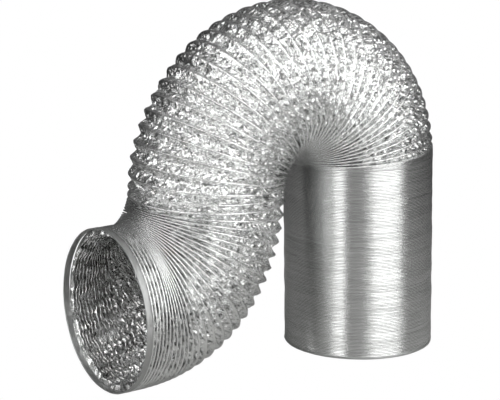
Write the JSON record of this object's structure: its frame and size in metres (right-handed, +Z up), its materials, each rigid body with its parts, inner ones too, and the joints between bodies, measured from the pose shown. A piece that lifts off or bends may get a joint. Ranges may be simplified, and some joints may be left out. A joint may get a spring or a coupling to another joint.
{
  "type": "flexible air duct",
  "caption": "Flexible aluminium foil air duct with a coiled spring wire, standing as a compressed stack that arches over and bends into a horizontal open mouth.",
  "frame": {"origin": "centre of the lower open end, on the floor", "axes": "+Z up along the standing stack, the duct arches towards -X and its mouth faces -X, y = 0 is its middle plane"},
  "size_m": [0.3207, 0.1344, 0.3043],
  "materials": {
    "foil": "bright crinkled aluminium foil",
    "wire": "drawn spring-steel wire",
    "band": "smooth folded aluminium foil"
  },
  "bodies": {
    "stack_1": {"stack_1_outer_foil": "foil", "stack_1_inner_foil": "foil", "stack_1_wire": "wire", "base_band": "band"},
    "stack_2": {"stack_2_outer_foil": "foil", "stack_2_inner_foil": "foil", "stack_2_wire": "wire"},
    "stack_3": {"stack_3_outer_foil": "foil", "stack_3_inner_foil": "foil", "stack_3_wire": "wire"},
    "arch_1": {"arch_1_outer_foil": "foil", "arch_1_inner_foil": "foil", "arch_1_wire": "wire"},
    "arch_2": {"arch_2_outer_foil": "foil", "arch_2_inner_foil": "foil", "arch_2_wire": "wire"},
    "arch_3": {"arch_3_outer_foil": "foil", "arch_3_inner_foil": "foil", "arch_3_wire": "wire"},
    "arch_4": {"arch_4_outer_foil": "foil", "arch_4_inner_foil": "foil", "arch_4_wire": "wire"},
    "arch_5": {"arch_5_outer_foil": "foil", "arch_5_inner_foil": "foil", "arch_5_wire": "wire"},
    "arch_6": {"arch_6_outer_foil": "foil", "arch_6_inner_foil": "foil", "arch_6_wire": "wire"},
    "arch_7": {"arch_7_outer_foil": "foil", "arch_7_inner_foil": "foil", "arch_7_wire": "wire"},
    "shoulder_1": {"shoulder_1_outer_foil": "foil", "shoulder_1_inner_foil": "foil", "shoulder_1_wire": "wire"},
    "shoulder_2": {"shoulder_2_outer_foil": "foil", "shoulder_2_inner_foil": "foil", "shoulder_2_wire": "wire"},
    "leg": {"leg_outer_foil": "foil", "leg_inner_foil": "foil", "leg_wire": "wire"},
    "elbow_1": {"elbow_1_outer_foil": "foil", "elbow_1_inner_foil": "foil", "elbow_1_wire": "wire"},
    "elbow_2": {"elbow_2_outer_foil": "foil", "elbow_2_inner_foil": "foil", "elbow_2_wire": "wire"},
    "elbow_3": {"elbow_3_outer_foil": "foil", "elbow_3_inner_foil": "foil", "elbow_3_wire": "wire"},
    "elbow_4": {"elbow_4_outer_foil": "foil", "elbow_4_inner_foil": "foil", "elbow_4_wire": "wire"},
    "stub": {"stub_outer_foil": "foil", "stub_inner_foil": "foil", "stub_wire": "wire", "mouth_band": "band"}
  },
  "joints": [
    {"name": "stack_pull", "type": "slide", "parent": "stack_1", "child": "stack_2", "axis": [0, 0, 1], "range_m": [0, 0.598]},
    {"name": "stack_lean", "type": "hinge", "parent": "stack_2", "child": "stack_3", "pos_m": [0, -0.0645, 0.1105], "axis": [1, 0, 0], "range_deg": [0, 60]},
    {"name": "arch_open_1", "type": "hinge", "parent": "stack_3", "child": "arch_1", "pos_m": [0.0645, 0, 0.1645], "axis": [0, 1, 0], "range_deg": [0, 18]},
    {"name": "arch_open_2", "type": "hinge", "parent": "arch_1", "child": "arch_2", "pos_m": [0.05664, 0, 0.21074], "axis": [0, 1, 0], "range_deg": [0, 18]},
    {"name": "arch_open_3", "type": "hinge", "parent": "arch_2", "child": "arch_3", "pos_m": [0.03396, 0, 0.25179], "axis": [0, 1, 0], "range_deg": [0, 18]},
    {"name": "arch_open_4", "type": "hinge", "parent": "arch_3", "child": "arch_4", "pos_m": [-0.00102, 0, 0.28304], "axis": [0, 1, 0], "range_deg": [0, 18]},
    {"name": "arch_open_5", "type": "hinge", "parent": "arch_4", "child": "arch_5", "pos_m": [-0.04435, 0, 0.30099], "axis": [0, 1, 0], "range_deg": [0, 18]},
    {"name": "arch_open_6", "type": "hinge", "parent": "arch_5", "child": "arch_6", "pos_m": [-0.09118, 0, 0.30362], "axis": [0, 1, 0], "range_deg": [0, 18]},
    {"name": "arch_open_7", "type": "hinge", "parent": "arch_6", "child": "arch_7", "pos_m": [-0.13624, 0, 0.29064], "axis": [0, 1, 0], "range_deg": [0, 18]},
    {"name": "arch_open_8", "type": "hinge", "parent": "arch_7", "child": "shoulder_1", "pos_m": [-0.17449, 0, 0.26349], "axis": [0, 1, 0], "range_deg": [0, 18]},
    {"name": "arch_open_9", "type": "hinge", "parent": "shoulder_1", "child": "shoulder_2", "pos_m": [-0.2063, 0, 0.21678], "axis": [0, 1, 0], "range_deg": [0, 18]},
    {"name": "arch_open_10", "type": "hinge", "parent": "shoulder_2", "child": "leg", "pos_m": [-0.21878, 0, 0.16166], "axis": [0, 1, 0], "range_deg": [0, 18]},
    {"name": "elbow_open_1", "type": "hinge", "parent": "leg", "child": "elbow_1", "pos_m": [-0.09033, 0, 0.1436], "axis": [0, -1, 0], "range_deg": [0, 20]},
    {"name": "elbow_open_2", "type": "hinge", "parent": "elbow_1", "child": "elbow_2", "pos_m": [-0.10227, 0, 0.08905], "axis": [0, -1, 0], "range_deg": [0, 20]},
    {"name": "elbow_open_3", "type": "hinge", "parent": "elbow_2", "child": "elbow_3", "pos_m": [-0.13392, 0, 0.04274], "axis": [0, -1, 0], "range_deg": [0, 20]},
    {"name": "elbow_open_4", "type": "hinge", "parent": "elbow_3", "child": "elbow_4", "pos_m": [-0.18082, 0, 0.01152], "axis": [0, -1, 0], "range_deg": [0, 20]},
    {"name": "stub_pull", "type": "slide", "parent": "elbow_4", "child": "stub", "axis": [-1, 0, 0], "range_m": [0, 0.08]}
  ],
  "couplings": [
    {"joint": "arch_open_2", "follows": "arch_open_1", "ratio": 1},
    {"joint": "arch_open_3", "follows": "arch_open_1", "ratio": 1},
    {"joint": "arch_open_4", "follows": "arch_open_1", "ratio": 1},
    {"joint": "arch_open_5", "follows": "arch_open_1", "ratio": 1},
    {"joint": "arch_open_6", "follows": "arch_open_1", "ratio": 1},
    {"joint": "arch_open_7", "follows": "arch_open_1", "ratio": 1},
    {"joint": "arch_open_8", "follows": "arch_open_1", "ratio": 1},
    {"joint": "arch_open_9", "follows": "arch_open_1", "ratio": 1},
    {"joint": "arch_open_10", "follows": "arch_open_1", "ratio": 1},
    {"joint": "elbow_open_2", "follows": "elbow_open_1", "ratio": 1},
    {"joint": "elbow_open_3", "follows": "elbow_open_1", "ratio": 1},
    {"joint": "elbow_open_4", "follows": "elbow_open_1", "ratio": 1}
  ]
}
